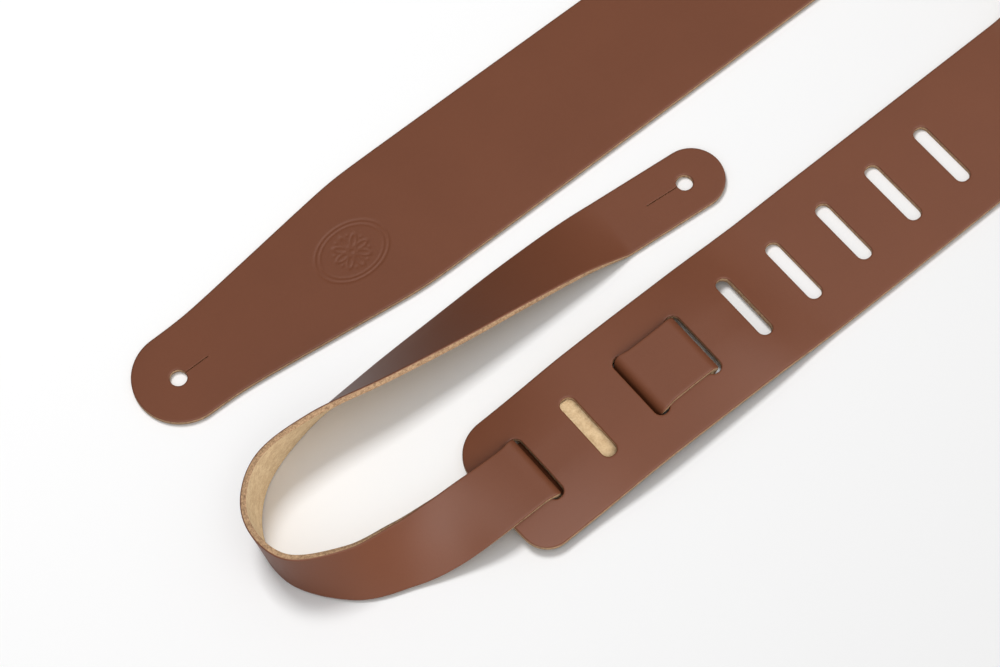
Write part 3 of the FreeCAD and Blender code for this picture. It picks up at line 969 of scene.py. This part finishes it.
def stamp_relief(flat):
    """A blind stamp: a double oval round a rosette of petals and a ring of dots.

    The ovals are where the root of (x/long) squared plus (y/wide) squared is constant; each petal
    is an ellipse whose long axis points out of the middle; its outline and the dots are pressed in.
    """
    x = FRONT_HOLE_AT - flat[:, 0] - STAMP_X
    y = flat[:, 1]
    oval = np.hypot(x / STAMP_LONG, y / STAMP_WIDE)
    radius, angle = np.hypot(x, y), np.arctan2(y, x)
    turn = 2 * math.pi / PETALS
    petal_angle = (angle + turn / 2) % turn - turn / 2
    out = radius * np.cos(petal_angle) - PETAL_AT
    aside = radius * np.sin(petal_angle)
    petal = np.hypot(out / PETAL_LONG, aside / PETAL_WIDE)
    dot_angle = angle % turn - turn / 2
    dot = np.hypot(radius * np.cos(dot_angle) - DOTS_AT, radius * np.sin(dot_angle))
    lines = (
        (1, (oval - 0.97) * STAMP_WIDE, 0.42),
        (0.75, (oval - 0.84) * STAMP_WIDE, 0.34),
        (0.9, (petal - 1) * PETAL_WIDE, 0.33),
        (1, radius - EYELET_RADIUS, 0.4),
        (0.8, dot, 0.6),
    )
    depth = np.max([share * groove(off, width * MM) for share, off, width in lines], axis=0)
    floor = 0.25 * smooth((0.93 - oval) * 10)
    total = sizes().stamp_depth * (floor + 0.75 * depth)
    return np.where(flat[:, 2] > 0, total, 0)


def make_belt_front_tab():
    """The front end: the stamp, the taper, the round tip and its button hole."""
    size = sizes()
    pattern = Pattern(size.belt_thick, belt_edge)
    stamp_start = FRONT_HOLE_AT - STAMP_X - STAMP_LONG - STAMP_MARGIN
    stamp_stop = FRONT_HOLE_AT - STAMP_X + STAMP_LONG + STAMP_MARGIN
    along = np.concatenate([
        spacing(FRONT_HOLE_AT - RUN_SEAM_X, stamp_start, TAPER_STEPS[0])[:-1],
        spacing(stamp_start, stamp_stop, STAMP_STEP)[:-1],
        spacing(stamp_stop, FRONT_HOLE_AT - FRONT_CLOSE, TAPER_STEPS[1])])
    pattern.strip(along, TAB_SHARES)
    add_tip(pattern, FRONT_HOLE_AT, FRONT_TIP, size.front_slit, FRONT_CLOSE, TAB_SHARES, 10)
    return leather("belt_front_tab_leather", pattern, belt_way(), relief=stamp_relief)


EYE_REACH = 21 * MM
EYE_RIM = 12 * MM
EYE_EASE = 1.6 * MM
EYE_CELL = (27 * MM, 24.5 * MM)  # the eye's grid, before and after its middle
BEND_SPREADS = (0.2 * MM, 0.8 * MM, 0.8 * MM)  # at the fourth slot, the third and the first
SPREAD_REACH = 3.5 * MM
TAB_LENGTH = 62 * MM
EYE_POWER = 0.4


def bends_along():
    """Distances along the tail of its bends into the fourth slot, the third and the first."""
    half_slot = sizes().slot_width / 2
    up = climb_start() - tail_start()
    over = up + math.pi * (OVER_MID - TAB_MID) / 2
    third = over + sizes().slot_pitch - 2 * half_slot + 2 * BAR_GAP + SLOT_PRESS
    last = tail_way()[1] - (slot_x(1) - half_slot + END_SLOT_GAP + SLOT_PRESS - LEAD_X)
    reach = BEND_RADIUS * math.radians(CLIMB) / 2
    return over - reach, third + reach, last - reach


def tail_edge(along, side):
    """Half the tail's width: its end flares, and beside the eye the rims bow out round it.

    The bow is one less the squared distance from the eye's middle over its reach.  At each bend
    into a slot the leather spreads to fill the slot, by a bump that falls off as the exponential
    of minus the squared distance.
    """
    half = sizes().tail_width / 2
    middle = eye_along()
    stop = climb_start() - tail_start()
    flare = (LOCK_WIDTH / 2 - half) * np.clip((stop - along) / (stop - middle), 0, 1)
    bow = np.clip(1 - ((along - middle) / (EYE_REACH + EYE_RIM / 2)) ** 2, 0, 1)
    spread = 0 * along
    for bent, most in zip(bends_along(), BEND_SPREADS):
        spread = spread + most * np.exp(-((along - bent) / SPREAD_REACH) ** 2)
    return np.maximum(half + flare, (half + EYE_EASE + EYE_RIM) * bow) + spread


def tail_droop(place, flat):
    """The eye's rims hang with the belt's edges above them."""
    return np.where(flat[:, 0] < TAB_LENGTH, TAB_DROOP_SHARE * belt_droop(place, flat), 0)


def make_tail_weave():
    """The tail from its lock tab through the slots and round the loop to the return seam."""
    way, lead, fold, _ = tail_way()
    pattern = Pattern(sizes().tail_thick, tail_edge)
    middle = eye_along()
    low, high = middle - EYE_CELL[0], middle + EYE_CELL[1]
    plain = [float(tail_edge(np.array(low), side)) for side in (-1, 1)]
    add_end(pattern, low, 0, plain, (LOCK_CORNER, LOCK_CORNER), 0, TAIL_SHARES, 5)
    pattern.cell(eye_outline(middle, len(TAIL_SHARES) - 1, 40), low, high, TAIL_SHARES, 6)
    weave = spacing(high, lead, WEAVE_STEP)
    loop = spacing(lead, fold - RETURN_SEAM, LOOP_STEP)
    pattern.strip(np.concatenate([weave[:-1], loop]), TAIL_SHARES)
    return leather("tail_weave_leather", pattern, way, droop=tail_droop)


def eye_outline(middle, cross_steps, side_steps):
    """The slit opened to an eye, in four runs: reach cos a, opening sin a times |sin a|^power."""
    opening = sizes().tail_width / 2 + EYE_EASE
    runs = []
    for number in range(4):
        steps = side_steps if number % 2 else cross_steps
        angle = np.linspace(-math.pi / 4, math.pi / 4, steps + 1) + number * math.pi / 2
        cos, sin = np.cos(angle), np.sin(angle)
        cut = columns(middle + EYE_REACH * cos, opening * sin * np.abs(sin) ** EYE_POWER)
        steep = np.maximum(np.abs(sin), 0.05) ** EYE_POWER
        slope = columns(-EYE_REACH * sin, (1 + EYE_POWER) * opening * cos * steep)
        runs.append((cut, -unit(columns(slope[:, 1], -slope[:, 0]))))
    return runs


def make_tail_return():
    """The returning leg, from just before the fold where it leaves the loop."""
    way, _, fold, hole = tail_way()
    pattern = Pattern(sizes().tail_thick, tail_edge)
    stop = hole - TIP_FOLD_SETBACK - TIP_SEAM
    pattern.strip(spacing(fold - RETURN_SEAM, stop, TAIL_STEP), TAIL_SHARES)
    return leather("tail_return_leather", pattern, way)


def make_tail_tip():
    """The tail's round tip and its button hole."""
    size = sizes()
    way, _, _, hole = tail_way()
    pattern = Pattern(size.tail_thick, tail_edge)
    start = hole - TIP_FOLD_SETBACK - TIP_SEAM
    pattern.strip(spacing(start, hole - TAIL_CLOSE, TAIL_STEP), TAIL_SHARES)
    add_tip(pattern, hole, TAIL_TIP, size.tail_slit, TAIL_CLOSE, TAIL_SHARES, 10)
    return leather("tail_tip_leather", pattern, way)


def bend(piece, joint_name, direction):
    """Bake the piece's world transform into its mesh; the piece is not made to bend."""
    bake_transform(piece)


# ---- operators

class STRAP_OT_belt_rear(bpy.types.Operator):
    """Make the belt's slotted rear leg and the first part of its turn"""

    bl_idname = "strap.belt_rear"
    bl_label = "Belt rear leg"

    def execute(self, context):
        piece = make_belt_rear()
        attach(piece, "belt_rear")
        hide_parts("belt_rear_run", "belt_rear_turn")
        return {"FINISHED"}


class STRAP_OT_belt_turn(bpy.types.Operator):
    """Make the belt's turn, which stands on its edge"""

    bl_idname = "strap.belt_turn"
    bl_label = "Belt turn"

    def execute(self, context):
        piece = make_belt_turn()
        bend(piece, "belt_loop_open", (0, 1, 0))
        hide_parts("belt_front_turn")
        return {"FINISHED"}


class STRAP_OT_belt_front(bpy.types.Operator):
    """Make the belt's front leg: the plain run, and the tab with its stamp and button hole"""

    bl_idname = "strap.belt_front"
    bl_label = "Belt front leg"

    def execute(self, context):
        run = make_belt_front_run()
        bend(run, "front_run_lift", (-1, 0, 0))
        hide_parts("belt_front_run")
        tab = make_belt_front_tab()
        bend(tab, "front_tab_lift", (-1, 0, 0))
        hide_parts("belt_front_tab")
        return {"FINISHED"}


class STRAP_OT_tail(bpy.types.Operator):
    """Make the narrow tail: its weave and loop, its returning leg and its tip"""

    bl_idname = "strap.tail"
    bl_label = "Tail"

    def execute(self, context):
        weave = make_tail_weave()
        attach(weave, "tail_weave")
        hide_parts("tail_lock_tab", "tail_wrap", "tail_underpass", "tail_lead", "tail_bend",
                    "tail_twist")
        leg = make_tail_return()
        bend(leg, "tail_return_lift", (1, 0, 0))
        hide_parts("tail_return")
        tip = make_tail_tip()
        bend(tip, "tail_tip_lift", (math.cos(TAIL_YAW), math.sin(TAIL_YAW), 0))
        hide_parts("tail_tip")
        return {"FINISHED"}


FLOOR_REACH = 4.0
FLOOR_Z = -0.2 * MM
ROOM_LIGHT = 0.30


class STRAP_OT_stage(bpy.types.Operator):
    """Set the strap on a plain pale floor under soft studio light, with a camera"""

    bl_idname = "strap.stage"
    bl_label = "Stage"

    def execute(self, context):
        scene = context.scene
        floor_mesh = bpy.data.meshes.new("floor")
        corners = [(x * FLOOR_REACH, y * FLOOR_REACH, FLOOR_Z)
                   for x, y in ((-1, -1), (1, -1), (1, 1), (-1, 1))]
        floor_mesh.from_pydata(corners, [], [(0, 1, 2, 3)])
        floor = bpy.data.objects.new("floor", floor_mesh)
        scene.collection.objects.link(floor)
        material = bpy.data.materials.new("Floor")
        material.use_nodes = True
        shader = next(n for n in material.node_tree.nodes if n.type == "BSDF_PRINCIPLED")
        shader.inputs["Base Color"].default_value = (*colours().floor, 1)
        shader.inputs["Roughness"].default_value = 0.9
        shader.inputs["Specular IOR Level"].default_value = 0.1
        floor_mesh.materials.append(material)
        light_room(scene, floor)
        aim_camera(scene)
        return {"FINISHED"}


def light_room(scene, floor):
    """A dim white room and four soft lamps.

    The top lamp lights everything.  The front and left lamps light only the leather, whose rising
    side they make shine.  The back lamp lights only the floor, where it throws the leather's soft
    shadow forwards.
    """
    world = bpy.data.worlds.new("Studio")
    world.use_nodes = True
    background = next(n for n in world.node_tree.nodes if n.type == "BACKGROUND")
    background.inputs["Color"].default_value = (1, 1, 1, 1)
    background.inputs["Strength"].default_value = ROOM_LIGHT
    scene.world = world
    only_floor = bpy.data.collections.new("Lit from the back")
    only_floor.objects.link(floor)
    not_floor = bpy.data.collections.new("Lit from the front")
    not_floor.objects.link(floor)
    not_floor.collection_objects[0].light_linking.link_state = "EXCLUDE"
    target = Vector((0.14, -0.06, 0.0))
    for name, place, size, power, receivers in (
            ("top", (-0.40, -0.25, 1.60), 2.4, 12, None),
            ("front", (0.50, -0.78, 1.30), 1.7, 38, not_floor),
            ("left", (-0.80, -1.00, 0.60), 0.8, 9, not_floor),
            ("back", (0.10, 0.62, 1.50), 0.45, 15.5, only_floor)):
        lamp = bpy.data.lights.new(name, "AREA")
        lamp.size = size
        lamp.energy = power
        holder = bpy.data.objects.new(name, lamp)
        holder.location = place
        holder.rotation_euler = (target - Vector(place)).to_track_quat("-Z", "Y").to_euler()
        holder.light_linking.receiver_collection = receivers
        scene.collection.objects.link(holder)
    scene.view_settings.view_transform = "Standard"


def aim_camera(scene):
    """A long lens, high above the strap's front end."""
    camera = bpy.data.cameras.new("camera")
    camera.lens = 108
    camera.sensor_width = 36
    holder = bpy.data.objects.new("camera", camera)
    azimuth, elevation, distance = math.radians(-40), math.radians(66), 1.243
    target = Vector((0.1147, -0.0688, 0))
    level = math.cos(elevation)
    back = Vector((math.sin(azimuth) * level, -math.cos(azimuth) * level, math.sin(elevation)))
    holder.location = target + back * distance
    holder.rotation_euler = (-back).to_track_quat("-Z", "Y").to_euler()
    scene.collection.objects.link(holder)
    scene.camera = holder


class STRAP_PT_panel(bpy.types.Panel):
    """The strap's sizes, colours and pieces"""

    bl_label = "Guitar strap"
    bl_idname = "STRAP_PT_panel"
    bl_space_type = "VIEW_3D"
    bl_region_type = "UI"
    bl_category = "Strap"

    def draw(self, context):
        for group in (context.scene.strap_sizes, context.scene.strap_colours):
            for name in group.__annotations__:
                self.layout.prop(group, name)
        for operator in OPERATORS:
            self.layout.operator(operator.bl_idname)


OPERATORS = (STRAP_OT_belt_rear, STRAP_OT_belt_turn, STRAP_OT_belt_front, STRAP_OT_tail,
             STRAP_OT_stage)
CLASSES = (StrapSizes, StrapColours) + OPERATORS + (STRAP_PT_panel,)


def register():
    for cls in CLASSES:
        bpy.utils.register_class(cls)
    bpy.types.Scene.strap_sizes = bpy.props.PointerProperty(type=StrapSizes)
    bpy.types.Scene.strap_colours = bpy.props.PointerProperty(type=StrapColours)


def unregister():
    del bpy.types.Scene.strap_colours
    del bpy.types.Scene.strap_sizes
    for cls in reversed(CLASSES):
        bpy.utils.unregister_class(cls)


def main():
    register()
    bpy.ops.strap.belt_rear()
    bpy.ops.strap.belt_turn()
    bpy.ops.strap.belt_front()
    bpy.ops.strap.tail()
    bpy.ops.strap.stage()


if __name__ == "__main__":
    main()
